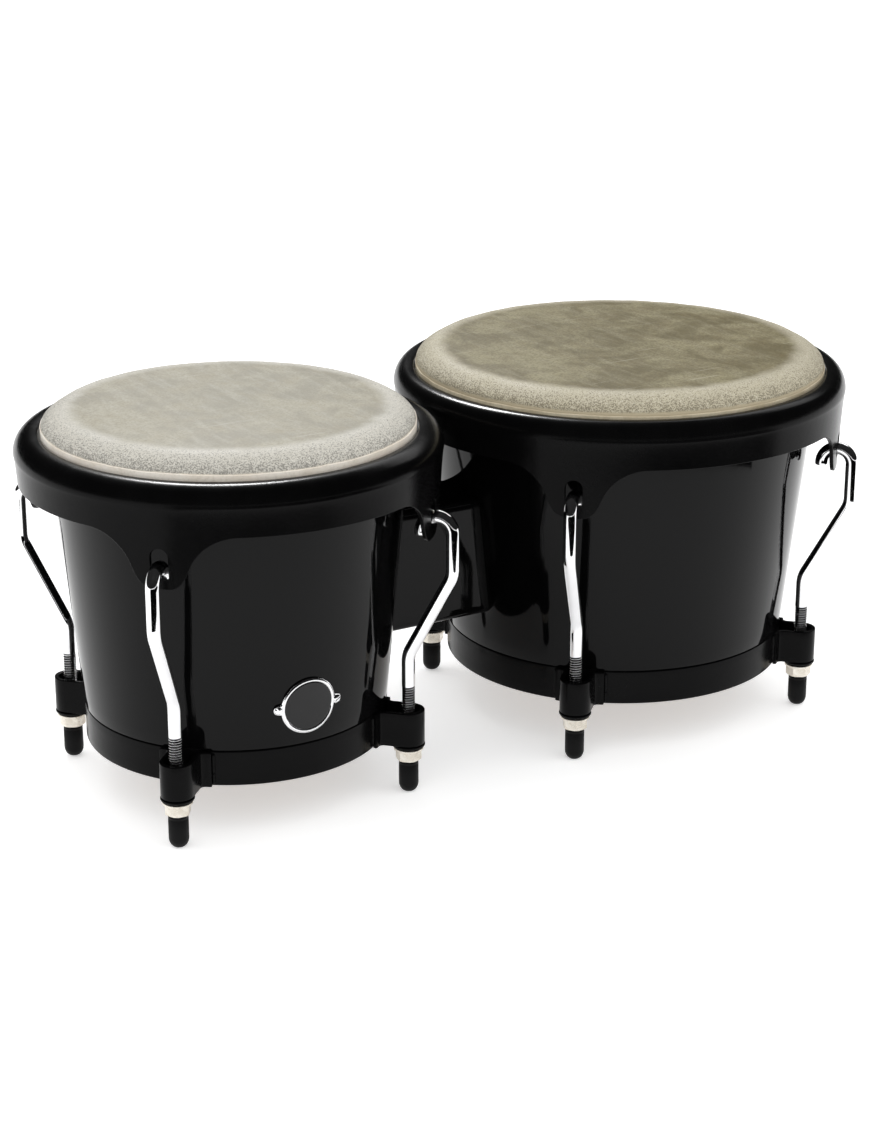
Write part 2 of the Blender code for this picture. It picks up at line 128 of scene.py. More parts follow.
# Rim, with a slotted tab under each hook.
LIP_Z = 0.1770
RIM_WIDEST_Z = 0.1680
RIM_PLATE = 0.0020
SKIRT_Z = 0.1540
SKIRT_TAPER = 0.0024
TAPER_LOW_Z = 0.1285
TAB_REACH = 0.0360
TAB_LOW_Z = 0.1291
NUB_HALF = 0.0136
NUB_Z = 0.1388
NUB_POWER = 3.8
SLOT_WIDTH = 0.0084
SLOT_TOP_Z = 0.1482

# Rod and hook.
ROD = 0.003175
ROD_END_Z = 0.0035
ROD_CAP = 0.0006
PITCH = 0.00127
THREAD_DEPTH = 0.00066
THREAD_LOW = TIP_TOP - 0.001
THREAD_TOP = 0.0545
THREAD_STEPS = ceil((THREAD_TOP - THREAD_LOW) / PITCH * 10)
BEND = 0.014
BEND_LOW_Z = 0.0700
BEND_HIGH_Z = 0.1110
HOOK_OFFSET = 0.0216
ARCH = 0.0076
ARCH_Z = 0.1322
SHORT_LEG = 0.0015

# Centre block, its bolts and the badge.
BLOCK_WIDTH = 0.036
BLOCK_HEIGHT = 0.0615
BLOCK_Z = 0.0942
BOLT_Z = (0.0797, 0.1087)
BOLT_FLATS = 0.0100
BADGE_Z = 0.0620
BADGE_DISC = 0.0138
BADGE_LUG_REACH = 0.0149
BADGE_LUG = 0.0024
PIN_HEAD = 0.0018
PIN_HEIGHT = 0.0010
PIN_EDGE = 0.0003
PIN_SLOT = 0.0003


def shell_radius(drum, z):
    return drum.foot + (drum.head - drum.foot) * (z - RING_TOP) / (SHOULDER_Z - RING_TOP)


def skin_radius(drum):
    return drum.head + GAP + SKIN


def rim_face(drum, z):
    """Outside of the rim's skirt, which draws in just under the widest circle."""
    share = max((RIM_WIDEST_Z - z) / (RIM_WIDEST_Z - TAPER_LOW_Z), 0.0)
    soft = 0.02
    full = sqrt(1 + soft) - sqrt(soft)
    return drum.rim - SKIRT_TAPER * (sqrt(share + soft) - sqrt(soft)) / full


def rim_edge(drum, turn):
    """Height of the rim's lower edge: a rounded nub under each hook, and an arc up to the skirt."""
    away = min(abs(remainder(turn - middle, tau)) for middle in ROD_ANGLES)
    reach = away * drum.rim
    if reach < NUB_HALF:
        return TAB_LOW_Z + (NUB_Z - TAB_LOW_Z) * (reach / NUB_HALF) ** NUB_POWER
    width = TAB_REACH - NUB_HALF
    height = SKIRT_Z - NUB_Z
    radius = (width**2 + height**2) / (2 * height)
    across = max(TAB_REACH - reach, 0.0)
    return SKIRT_Z - radius + sqrt(radius**2 - across**2)


def slot_bottom(drum):
    sideways = drum.rods + HOOK_OFFSET - ARCH - (drum.rim - SKIRT_TAPER - RIM_PLATE)
    return ARCH_Z + sqrt((ARCH - ROD) ** 2 - sideways**2) - GAP


# ---- Materials ----


class Look:
    """A node material under construction."""

    def __init__(self, name, **sockets):
        self.material = bpy.data.materials.new(name)
        self.material.use_nodes = True
        self.tree = self.material.node_tree
        self.shader = self.tree.nodes["Principled BSDF"]
        self.place = self.tree.nodes.new("ShaderNodeTexCoord").outputs["Object"]
        self.set(self.shader, sockets)

    def set(self, node, inputs):
        for key, value in inputs.items():
            key = key.replace("_", " ") if isinstance(key, str) else key
            if isinstance(value, bpy.types.NodeSocket):
                self.tree.links.new(value, node.inputs[key])
            else:
                node.inputs[key].default_value = value

    def add(self, kind, settings=None, inputs=None, output=0):
        node = self.tree.nodes.new(kind)
        for key, value in (settings or {}).items():
            setattr(node, key, value)
        self.set(node, inputs or {})
        return node.outputs[output]

    def math(self, operation, a, b=0.0):
        return self.add("ShaderNodeMath", {"operation": operation}, {0: a, 1: b})

    def plus(self, a, b):
        return self.math("ADD", a, b)

    def times(self, a, b):
        return self.math("MULTIPLY", a, b)

    def split(self, vector):
        """The vector's x, y and z."""
        node = self.tree.nodes.new("ShaderNodeSeparateXYZ")
        self.tree.links.new(vector, node.inputs[0])
        return node.outputs

    def noise(self, scale, detail=3.0, roughness=0.5, at=None, distortion=0.0):
        inputs = {"Vector": at or self.place, "Scale": scale, "Detail": detail}
        inputs |= {"Roughness": roughness, "Distortion": distortion}
        return self.add("ShaderNodeTexNoise", None, inputs)

    def mapped(self, scale=(1, 1, 1), rotation=(0, 0, 0), location=(0, 0, 0), at=None):
        inputs = {"Vector": at or self.place, "Scale": scale}
        inputs |= {"Rotation": rotation, "Location": location}
        return self.add("ShaderNodeMapping", None, inputs)

    def spread(self, value, low, high, to_low=0.0, to_high=1.0):
        """value from low..high, stretched smoothly to to_low..to_high and clamped."""
        inputs = {0: value, 1: low, 2: high, 3: to_low, 4: to_high}
        return self.add("ShaderNodeMapRange", {"interpolation_type": "SMOOTHSTEP"}, inputs)

    def mix(self, share, a, b):
        """From a to b by share, where each of a and b is a socket or a colour's three numbers."""
        a, b = ((*tone, 1.0) if isinstance(tone, tuple) else tone for tone in (a, b))
        return self.add("ShaderNodeMix", {"data_type": "RGBA"}, {0: share, 6: a, 7: b}, output=2)

    def bump(self, height, strength, distance, normal=None):
        inputs = {"Strength": strength, "Distance": distance, "Height": height}
        if normal is not None:
            inputs["Normal"] = normal
        return self.add("ShaderNodeBump", None, inputs)

    def wire(self, tint, rough=None, normal=None):
        sockets = {"Base Color": tint, "Roughness": rough, "Normal": normal}
        self.set(self.shader, {key: value for key, value in sockets.items() if value is not None})
        return self.material


def lacquer_look():
    look = Look("gloss_lacquer", Specular_IOR_Level=0.135)
    haze = look.noise(26.0, 4.0, 0.6)
    swirl = look.noise(9.0, 2.0, 0.5, at=look.mapped(scale=(1, 1, 0.35)))
    specks = look.noise(900.0, 2.0, 0.5)
    peel = look.noise(260.0, 2.0, 0.45)
    tint = look.mix(look.spread(swirl, 0.3, 0.7), (0.0010, 0.0010, 0.0011), (0.0019, 0.0019, 0.0020))
    dust = look.spread(specks, 0.72, 0.80)
    rough = look.plus(look.spread(haze, 0.25, 0.8, 0.035, 0.085), look.times(dust, 0.08))
    wave = look.bump(swirl, 0.10, 0.0010)
    return look.wire(tint, rough, look.bump(peel, 0.022, 0.0004, wave))


def inside_look():
    look = Look("bare_wood", Specular_IOR_Level=0.3)
    grain = look.noise(14.0, 6.0, 0.62, at=look.mapped(scale=(1.0, 1.0, 0.12)), distortion=0.6)
    pores = look.noise(420.0, 2.0, 0.5, at=look.mapped(scale=(1.0, 1.0, 0.06)))
    tint = look.mix(look.spread(grain, 0.3, 0.72), (0.34, 0.21, 0.11), (0.56, 0.39, 0.23))
    tint = look.mix(look.spread(pores, 0.55, 0.75, 0.0, 0.6), tint, (0.17, 0.10, 0.05))
    rough = look.spread(grain, 0.2, 0.8, 0.55, 0.8)
    return look.wire(tint, rough, look.bump(pores, 0.25, 0.0004))


def satin_look():
    look = Look("satin_black_paint", Specular_IOR_Level=0.075)
    grit = look.noise(1500.0, 3.0, 0.55)
    orange = look.noise(340.0, 2.0, 0.5)
    handled = look.noise(22.0, 4.0, 0.62)
    tint = look.mix(look.spread(handled, 0.3, 0.75), (0.0012, 0.0012, 0.0013), (0.0023, 0.0023, 0.0024))
    rough = look.plus(look.spread(handled, 0.25, 0.8, 0.17, 0.25), look.spread(grit, 0.3, 0.8, 0.0, 0.05))
    normal = look.bump(grit, 0.05, 0.0002, look.bump(orange, 0.06, 0.0005))
    return look.wire(tint, rough, normal)


def chrome_look():
    look = Look("chrome_plate", Metallic=1.0)
    smudge = look.noise(75.0, 4.0, 0.65)
    lines = look.noise(60.0, 3.0, 0.5, at=look.mapped(scale=(1, 1, 14)))
    tint = look.mix(look.spread(smudge, 0.3, 0.75), (0.80, 0.80, 0.81), (0.90, 0.90, 0.91))
    rough = look.plus(look.spread(smudge, 0.3, 0.8, 0.03, 0.10), look.spread(lines, 0.62, 0.8, 0.0, 0.08))
    return look.wire(tint, rough, look.bump(smudge, 0.02, 0.0004))


def nickel_look():
    look = Look("nickel_plate", Metallic=1.0)
    mottle = look.noise(210.0, 4.0, 0.6)
    turned = look.noise(120.0, 2.0, 0.5, at=look.mapped(scale=(1, 1, 30)))
    tint = look.mix(look.spread(mottle, 0.3, 0.72), (0.62, 0.57, 0.49), (0.84, 0.80, 0.72))
    rough = look.plus(look.spread(mottle, 0.25, 0.8, 0.20, 0.34), look.spread(turned, 0.4, 0.8, 0.0, 0.10))
    return look.wire(tint, rough, look.bump(turned, 0.05, 0.0003))


def zinc_look():
    look = Look("zinc_plate", Metallic=1.0)
    spangle = look.add("ShaderNodeTexVoronoi", None, {"Vector": look.place, "Scale": 240.0})
    mottle = look.noise(90.0, 4.0, 0.6)
    tint = look.mix(look.spread(mottle, 0.3, 0.72), (0.48, 0.50, 0.53), (0.66, 0.67, 0.69))
    rough = look.spread(spangle, 0.0, 0.8, 0.28, 0.45)
    return look.wire(tint, rough, look.bump(spangle, 0.05, 0.0003))


def rubber_look():
    look = Look("black_rubber", Specular_IOR_Level=0.13)
    bloom = look.noise(160.0, 4.0, 0.6)
    grit = look.noise(1900.0, 2.0, 0.5)
    tint = look.mix(look.spread(bloom, 0.35, 0.75), (0.0022, 0.0022, 0.0024), (0.0050, 0.0050, 0.0053))
    rough = look.spread(bloom, 0.3, 0.8, 0.42, 0.62)
    return look.wire(tint, rough, look.bump(grit, 0.12, 0.0003))


def enamel_look():
    look = Look("black_enamel", Specular_IOR_Level=0.35)
    cloud = look.noise(130.0, 3.0, 0.5)
    tint = look.mix(look.spread(cloud, 0.3, 0.75), (0.0018, 0.0018, 0.0020), (0.004, 0.004, 0.0045))
    rough = look.spread(cloud, 0.3, 0.8, 0.10, 0.22)
    return look.wire(tint, rough, look.bump(cloud, 0.04, 0.0003))


# Angle, seed and strength of each set of scratches.
SCRATCHES = ((0.35, 0.0, 0.42), (2.2, 3.0, 0.42), (1.3, 7.0, 0.42), (2.75, 11.0, 0.30))

# How far in from the head's edge the grey band starts and is full.
BAND_FROM = 0.0165
BAND_TO = 0.0070
SPECK_HIGH_Z = 0.1866
SPECK_LOW_Z = 0.1812
CREAM_HIGH_Z = 0.1802
CREAM_LOW_Z = 0.1790


def scratches(look, local, angle, seed):
    """Broken straight lines across the hide at an angle, as a share from 0 to 1."""
    drawn = look.mapped(scale=(1.3, 95.0, 1.0), rotation=(0, 0, angle), location=(seed, seed, 0), at=local)
    streak = look.noise(7.0, 1.0, 0.4, at=drawn, distortion=0.15)
    broken = look.noise(24.0, 2.0, 0.5, at=look.mapped(location=(seed, 0, 0), at=local))
    return look.times(look.spread(streak, 0.725, 0.765), look.spread(broken, 0.50, 0.64))


def skin_look(drum, tones):
    """Hide: cloudy in the middle, speckled grey near the edge and cream on the side."""
    look = Look(f"{drum.name}_hide", Specular_IOR_Level=0.10)
    local = look.mapped(location=(-drum.x, 0, 0))
    x, y, z = look.split(local)
    reach = look.math("SQRT", look.plus(look.times(x, x), look.times(y, y)))

    clouded = look.mapped(scale=(1.0, 0.9, 0.4), rotation=(0, 0, 0.5), at=local)
    cloud = look.noise(34.0, 6.0, 0.66, at=clouded, distortion=0.8)
    blotch = look.noise(70.0, 4.0, 0.62, at=local)
    fibred = look.mapped(scale=(1.0, 0.22, 1.0), rotation=(0, 0, 0.9), at=local)
    fibre = look.noise(150.0, 4.0, 0.6, at=fibred)
    fine = look.noise(900.0, 3.0, 0.6, at=local)
    tint = look.mix(look.spread(cloud, 0.38, 0.62), tones["deep"], tones["pale"])
    tint = look.mix(look.spread(blotch, 0.42, 0.70, 0.0, 0.60), tint, tones["warm"])
    tint = look.mix(look.spread(fibre, 0.42, 0.72, 0.0, 0.45), tint, tones["light"])
    tint = look.mix(look.spread(fine, 0.40, 0.66, 0.0, 0.45), tint, tones["dark"])
    for angle, seed, strength in SCRATCHES:
        mark = look.times(scratches(look, local, angle, seed), strength)
        tint = look.mix(mark, tint, tones["scratch"])

    waver = look.math("SUBTRACT", blotch, 0.5)
    edge = look.plus(reach, look.times(waver, 0.008))
    band = look.spread(edge, drum.head - BAND_FROM, drum.head - BAND_TO)
    specks = look.noise(1500.0, 2.0, 0.65, at=local)
    patches = look.noise(230.0, 4.0, 0.7, at=local)
    downward = look.spread(z, SPECK_HIGH_Z, SPECK_LOW_Z)
    density = look.times(downward, look.spread(patches, 0.30, 0.62, 0.35, 1.0))
    dots = look.spread(look.plus(specks, look.times(density, 0.12)), 0.54, 0.62)
    flecks = look.noise(980.0, 2.0, 0.6, at=look.mapped(location=(0.3, 0.2, 0), at=local))
    flecks = look.spread(flecks, 0.58, 0.68)
    tint = look.mix(look.times(band, 0.80), tint, tones["band"])
    tint = look.mix(look.times(look.times(dots, band), 0.72), tint, tones["speck"])
    tint = look.mix(look.times(look.times(flecks, band), 0.45), tint, tones["fleck"])
    low = look.plus(z, look.times(waver, 0.0016))
    tint = look.mix(look.spread(low, CREAM_HIGH_Z, CREAM_LOW_Z), tint, tones["cream"])

    rough = look.plus(look.spread(cloud, 0.3, 0.7, 0.46, 0.58), look.times(band, 0.12))
    grain = look.bump(fine, 0.14, 0.0004)
    grain = look.bump(patches, 0.16, 0.0006, grain)
    return look.wire(tint, rough, look.bump(specks, 0.20, 0.0003, grain))


def cream_look(drum, pale, deep, dark):
    look = Look(f"{drum.name}_cream_hide", Specular_IOR_Level=0.2)
    blotch = look.noise(60.0, 4.0, 0.6)
    fine = look.noise(700.0, 3.0, 0.6)
    tint = look.mix(look.spread(blotch, 0.35, 0.7), deep, pale)
    tint = look.mix(look.spread(fine, 0.45, 0.8, 0.0, 0.3), tint, dark)
    rough = look.spread(blotch, 0.3, 0.7, 0.5, 0.62)
    return look.wire(tint, rough, look.bump(fine, 0.2, 0.0003))


def thread_look(drum):
    """Chrome with painted shade in the thread's groove, round a rod at the drum's rod circle."""
    look = Look(f"{drum.name}_thread_plate", Metallic=1.0)
    x, y, z = look.split(look.mapped(location=(-drum.rods, 0, 0)))
    turn = look.math("DIVIDE", look.math("ARCTAN2", y, x), tau)
    phase = look.math("FRACT", look.math("SUBTRACT", look.math("DIVIDE", z, PITCH), turn))
    slope = look.math("ABSOLUTE", look.math("SUBTRACT", look.times(phase, 2.0), 1.0))
    smudge = look.noise(160.0, 3.0, 0.6)
    tint = look.mix(look.spread(smudge, 0.3, 0.7), (0.74, 0.74, 0.75), (0.88, 0.88, 0.89))
    # painted shade: the groove's tint is darkened to stand for the shade in the thread's valleys
    tint = look.mix(look.spread(slope, 0.80, 0.30), tint, (0.05, 0.05, 0.053))
    return look.wire(tint, look.spread(smudge, 0.3, 0.8, 0.16, 0.30))


LIGHT_TONES = {
    "deep": (0.215, 0.196, 0.136),
    "pale": (0.335, 0.310, 0.230),
    "warm": (0.270, 0.236, 0.155),
    "light": (0.400, 0.380, 0.305),
    "dark": (0.165, 0.148, 0.102),
    "scratch": (0.520, 0.500, 0.430),
    "band": (0.600, 0.580, 0.525),
    "speck": (0.150, 0.145, 0.130),
    "fleck": (0.720, 0.705, 0.655),
    "cream": (0.820, 0.750, 0.640),
}
DARK_TONES = {
    "deep": (0.140, 0.115, 0.047),
    "pale": (0.260, 0.230, 0.122),
    "warm": (0.160, 0.125, 0.050),
    "light": (0.290, 0.263, 0.165),
    "dark": (0.080, 0.063, 0.026),
    "scratch": (0.500, 0.470, 0.360),
    "band": (0.520, 0.480, 0.370),
    "speck": (0.125, 0.105, 0.068),
    "fleck": (0.640, 0.605, 0.500),
    "cream": (0.500, 0.430, 0.300),
}

looks = {
    "lacquer": lacquer_look(),
    "inside": inside_look(),
    "satin": satin_look(),
    "chrome": chrome_look(),
    "nickel": nickel_look(),
    "zinc": zinc_look(),
    "rubber": rubber_look(),
    "enamel": enamel_look(),
    "small_thread": thread_look(SMALL),
    "large_thread": thread_look(LARGE),
    "small_cream": cream_look(SMALL, (0.86, 0.81, 0.73), (0.76, 0.69, 0.59), (0.46, 0.40, 0.31)),
    "large_cream": cream_look(LARGE, (0.66, 0.59, 0.44), (0.48, 0.41, 0.28), (0.30, 0.24, 0.15)),
    "light_skin": skin_look(SMALL, LIGHT_TONES),
    "dark_skin": skin_look(LARGE, DARK_TONES),
}

# ---- Mesh helpers ----

ROUND = 192  # steps round a large piece
ON_AXIS = 1e-7


def sweep(start, end, steps):
    """Angles from start to end, which are in degrees, in equal steps with both ends."""
    return [radians(start + (end - start) * step / steps) for step in range(steps + 1)]


def whole_turn(count):
    return [tau * step / count for step in range(count)]


def around(radius, count, x=0.0, y=0.0, z=0.0):
    """Points of a level circle round (x, y)."""
    turns = whole_turn(count)
    return [Vector((x + radius * cos(turn), y + radius * sin(turn), z)) for turn in turns]


def fillet(corners, steps=5):
    """A closed outline of (x, y, radius) corners with each radius turned into an arc."""
    outline = []
    for index, (x, y, radius) in enumerate(corners):
        here = Vector((x, y))
        if radius <= 0:
            outline.append((x, y))
            continue
        back = Vector(corners[index - 1][:2]) - here
        ahead = Vector(corners[(index + 1) % len(corners)][:2]) - here
        half = back.angle(ahead) / 2
        reach = min(radius / tan(half), back.length * 0.49, ahead.length * 0.49)
        radius = reach * tan(half)
        back.normalize()
        ahead.normalize()
        centre = here + (back + ahead).normalized() * (radius / sin(half))
        start = here + back * reach - centre
        end = here + ahead * reach - centre
        first = atan2(start.y, start.x)
        swing = remainder(atan2(end.y, end.x) - first, tau)
        for step in range(steps + 1):
            turn = first + swing * step / steps
            outline.append((centre.x + radius * cos(turn), centre.y + radius * sin(turn)))
    return outline


def subdivided(profile, longest):
    """A closed profile with its long straight runs cut into equal steps."""
    made = []
    for (x0, y0), (x1, y1) in zip(profile, profile[1:] + profile[:1]):
        count = max(1, ceil(hypot(x1 - x0, y1 - y0) / longest))
        made += [(x0 + (x1 - x0) * k / count, y0 + (y1 - y0) * k / count) for k in range(count)]
    return made


def loft(rows, closed):
    """Vertices and faces that join rows of points. A row of one point is a pole."""
    verts = []
    numbers = []
    for row in rows:
        numbers.append(range(len(verts), len(verts) + len(row)))
        verts += row
    faces = []
    pairs = zip(numbers, numbers[1:] + numbers[:1]) if closed else zip(numbers, numbers[1:])
    for a, b in pairs:
        count = max(len(a), len(b))
        for here in range(count):
            there = (here + 1) % count
            if len(a) == 1:
                faces.append((a[0], b[there], b[here]))
            elif len(b) == 1:
                faces.append((a[here], a[there], b[0]))
            else:
                faces.append((a[here], a[there], b[there], b[here]))
    if not closed:
        faces += [tuple(row) for row in (numbers[0], numbers[-1]) if len(row) > 2]
    return verts, faces


def turned(profile, count=ROUND, closed=True, shape=None):
    """A profile of (radius, height) turned about Z. shape(turn, radius, z) may move a point."""
    rows = []
    for radius, z in profile:
        if radius < ON_AXIS:
            rows.append([Vector((0, 0, z))])
            continue
        row = []
        for turn in whole_turn(count):
            r, height = shape(turn, radius, z) if shape else (radius, z)
            row.append(Vector((r * cos(turn), r * sin(turn), height)))
        rows.append(row)
    return loft(rows, closed)


def joined(*parts):
    """Several (vertices, faces) as one."""
    verts, faces = [], []
    for points, loops in parts:
        faces += [tuple(index + len(verts) for index in loop) for loop in loops]
        verts += points
    return verts, faces


def placed(name, data):
    """A new object in the scene that holds the data."""
    made = bpy.data.objects.new(name, data)
    bpy.context.scene.collection.objects.link(made)
    return made


def piece(name, shape, look, body, nodes=(), at=(0, 0, 0), rotation=(0, 0, 0), sharp=35, ride=True):
    mesh = bpy.data.meshes.new(name)
    mesh.from_pydata([tuple(v) for v in shape[0]], [], shape[1])
    work = bmesh.new()
    work.from_mesh(mesh)
    bmesh.ops.recalc_face_normals(work, faces=work.faces)
    work.to_mesh(mesh)
    work.free()
    mesh.shade_smooth()
    mesh.set_sharp_from_angle(angle=radians(sharp))
    mesh.materials.append(looks[look])
    made = placed(name, mesh)
    made.location = at
    made.rotation_euler = rotation
    if ride:
        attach(made, body)
    if nodes:
        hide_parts(*nodes)
    return made


# ---- Shells ----


def make_shell(drum):
    rabbet = drum.foot - RING_PLATE - GAP
    rabbet_top = RING_TOP + GAP
    inner_top = BEARING_Z - INNER_DROP
    centre = drum.head - SHOULDER
    height = BEARING_Z - SHOULDER_Z
    rounding = [
        (centre + SHOULDER * cos(turn), SHOULDER_Z + height * sin(turn), 0)
        for turn in sweep(0, 90, 12)
    ]
    profile = fillet(
        [
            (shell_radius(drum, SHELL_LOW) - WALL, SHELL_LOW, 0.0012),
            (rabbet, SHELL_LOW, 0.0006), (rabbet, rabbet_top, 0),
            (shell_radius(drum, rabbet_top), rabbet_top, 0.0005), *rounding,
            (centre - 0.0030, BEARING_Z - 0.0018, 0.0020),
            (shell_radius(drum, inner_top) - WALL, inner_top, 0.0050),
        ]
    )
    shell = piece(
        f"{drum.name}_shell_body", turned(subdivided(profile, 0.006)), "lacquer", "root",
        [f"{drum.name}_shell"], at=drum.axis, sharp=40,
    )
    shell.data.materials.append(looks["inside"])
    for face in shell.data.polygons:
        inward = face.normal.xy.dot(face.center.xy) < 0
        if inward and face.center.xy.length < drum.head - 0.004:
            face.material_index = 1


# ---- Heads ----


def skin_wobble(drum):
    def move(turn, radius, z):
        x, y = radius * cos(turn), radius * sin(turn)
        near_edge = min(max((radius - drum.head + 0.020) / 0.010, 0.0), 1.0)
        broad = noise.noise(Vector((x * 22 + drum.seed, y * 22, 0.0)))
        rough = noise.noise(Vector((x * 95, y * 95 + drum.seed, z * 60)))
        lift = broad * 0.00012 * (1 - near_edge) + (rough * 0.00016 - abs(broad) * 0.00016) * near_edge
        side = rough * 0.00014 * min(max((HEAD_Z - z) / 0.003, 0.0), 1.0)
        return radius + side * near_edge, z + lift

    return move


def skin_rows(drum, side):
    """Section of the skin from the head's middle, over the shoulder, down and back up inside."""
    centre = drum.head - SHOULDER
    drop = HEAD_Z - SKIN_DEPTH - SHOULDER_Z
    rows = [(centre * sqrt(step / 30), HEAD_Z) for step in range(30)]
    for turn in sweep(90, 0, 24):
        bulge = 1.0 - 0.10 * sin(2 * turn) ** 2
        reach = (side - centre) * cos(turn) * bulge
        rows.append((centre + reach, SHOULDER_Z + (HEAD_Z - SHOULDER_Z) * sin(turn) * bulge))
    rows += [(side, SHOULDER_Z + drop * step / 8) for step in range(1, 9)]
    rows.append((side - HIDE, SHOULDER_Z + drop))
    for turn in sweep(0, 90, 12):
        reach = (side - HIDE - centre) * cos(turn)
        rows.append((centre + reach, SHOULDER_Z + (HEAD_Z - HIDE - SHOULDER_Z) * sin(turn)))
    return rows + [(centre * 0.6, HEAD_Z - HIDE), (0.0, HEAD_Z - HIDE)]


def ragged(turn, radius, z):
    """A shape for turned(): the collar's upper edge wavers, as a hide cut by hand does."""
    wave = noise.noise(Vector((cos(turn) * 7, sin(turn) * 7, 2.0)))
    return radius + wave * 0.00008, z + (wave * 0.0005 if z > LIP_Z else 0.0)


def make_skin(drum):
    """The hide, whose side hangs down inside the rim, and its pale collar below the shoulder."""
    side = drum.head + GAP + HIDE
    skin = piece(
        f"{drum.name}_skin",
        turned(skin_rows(drum, side), 256, closed=False, shape=skin_wobble(drum)), drum.skin,
        "root", [f"{drum.name}_head"], at=drum.axis, sharp=60, ride=False,
    )
    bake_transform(skin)
    inside, outside = side + 0.0001, skin_radius(drum)
    collar = [
        (inside, COLLAR_LOW_Z, 0.0001), (outside, COLLAR_LOW_Z, 0.0001),
        (outside, drum.collar_z - 0.0005, 0.0003), (inside, drum.collar_z, 0.0001),
    ]
    piece(
        f"{drum.name}_skin_collar",
        turned(subdivided(fillet(collar, 3), 0.002), 256, shape=ragged), f"{drum.name}_cream",
        f"{drum.name}_rim", at=drum.axis, sharp=60,
    )


def make_hoop(drum):
    middle = skin_radius(drum) + GAP + HOOP_WIRE
    height = LIP_Z - RIM_PLATE - GAP - HOOP_WIRE
    profile = [tuple(spot.xy) for spot in around(HOOP_WIRE, 20, middle, height)]
    piece(
        f"{drum.name}_hoop_wire", turned(profile, 160), "zinc", f"{drum.name}_rim",
        [f"{drum.name}_flesh_hoop"], at=drum.axis,
    )


# ---- Rims ----

TAB_COLUMNS = 48
SPAN_COLUMNS = 26
SKIRT_ROWS = 28
SLOT_COLUMNS = 4
SLOT_ROWS = (12, 26)
SLOT_CORNER = 0.0012


def slot_inside(drum, s, z):
    """Whether the slot holds the point at height z and s sideways of the tab's middle."""
    half = SLOT_WIDTH / 2
    arch = SLOT_TOP_Z - half
    low = slot_bottom(drum)
    if z > arch:
        return hypot(s, z - arch) < half
    if abs(s) > half or z < low:
        return False
    aside = abs(s) - half + SLOT_CORNER
    under = low + SLOT_CORNER - z
    return min(aside, under) <= 0 or hypot(aside, under) < SLOT_CORNER


def slot_point(drum, s, z):
    """Where the line from the slot's centre to (s, z) crosses the slot's outline."""
    centre = (SLOT_TOP_Z + slot_bottom(drum)) / 2
    inner, outer = 0.0, 1.0
    for _ in range(30):
        share = (inner + outer) / 2
        if slot_inside(drum, s * share, centre + (z - centre) * share):
            inner = share
        else:
            outer = share
    return s * inner, centre + (z - centre) * inner


def rim_turns(drum):
    reach = TAB_REACH / drum.rim
    span = pi / 2 - 2 * reach
    turns = []
    for middle in ROD_ANGLES:
        turns += [middle + reach * (2 * step / TAB_COLUMNS - 1) for step in range(TAB_COLUMNS)]
        turns += [middle + reach + span * step / SPAN_COLUMNS for step in range(SPAN_COLUMNS)]
    return turns


def rim_crown(drum):
    """Section of the rim from its inner lip over the rounded top to the widest circle."""
    lip = skin_radius(drum) + 0.0008
    start = lip + 0.0030
    crown = [(lip, LIP_Z - 0.0004), (lip + 0.0008, LIP_Z - 0.0001), (lip + 0.0018, LIP_Z)]
    for turn in sweep(90, 0, 14):
        radius = start + (drum.rim - start) * cos(turn)
        crown.append((radius, RIM_WIDEST_Z + (LIP_Z - RIM_WIDEST_Z) * sin(turn)))
    return crown


def slot_window(tab, first):
    """The grid's columns and rows between which a tab's slot is cut."""
    middle = tab * (TAB_COLUMNS + SPAN_COLUMNS) + TAB_COLUMNS // 2
    return middle - SLOT_COLUMNS, middle + SLOT_COLUMNS, first + SLOT_ROWS[0], first + SLOT_ROWS[1]


def rim_sheet(drum):
    """Outer face of the rim: a grid of points round the drum, then each slot's edge in it."""
    verts, faces, spots = [], [], {}

    def point(turn, radius, z):
        spots[len(verts)] = (turn, z)
        verts.append(Vector((radius * cos(turn), radius * sin(turn), z)))
        return len(verts) - 1

    crown = rim_crown(drum)
    grid = []
    for turn in rim_turns(drum):
        column = [point(turn, radius, z) for radius, z in crown]
        drop = rim_edge(drum, turn) - RIM_WIDEST_Z
        for row in range(1, SKIRT_ROWS + 1):
            z = RIM_WIDEST_Z + drop * row / SKIRT_ROWS
            column.append(point(turn, rim_face(drum, z), z))
        grid.append(column)
    windows = [slot_window(tab, len(crown) - 1) for tab in range(4)]
    cut = {
        (column, row)
        for left, right, top, bottom in windows
        for column in range(left, right)
        for row in range(top, bottom)
    }
    for column, (here, after) in enumerate(zip(grid, grid[1:] + grid[:1])):
        for row in range(len(here) - 1):
            if (column, row) not in cut:
                faces.append((here[row], after[row], after[row + 1], here[row + 1]))
    for angle, (left, right, top, bottom) in zip(ROD_ANGLES, windows):
        ring = [grid[column][top] for column in range(left, right)]
        ring += [grid[right][row] for row in range(top, bottom)]
        ring += [grid[column][bottom] for column in range(right, left, -1)]
        ring += [grid[left][row] for row in range(bottom, top, -1)]
        loops = [ring]
        for share in (0.55, 1.0):
            loop = []
            for corner in ring:
                turn, z = spots[corner]
                s = remainder(turn - angle, tau) * drum.rim
                hole_s, hole_z = slot_point(drum, s, z)
                s += (hole_s - s) * share
                z += (hole_z - z) * share
                loop.append(point(angle + s / drum.rim, rim_face(drum, z), z))
            loops.append(loop)
        for outer, inner in zip(loops, loops[1:]):
            for here in range(len(ring)):
                there = (here + 1) % len(ring)
                faces.append((outer[here], outer[there], inner[there], inner[here]))
    return verts, faces


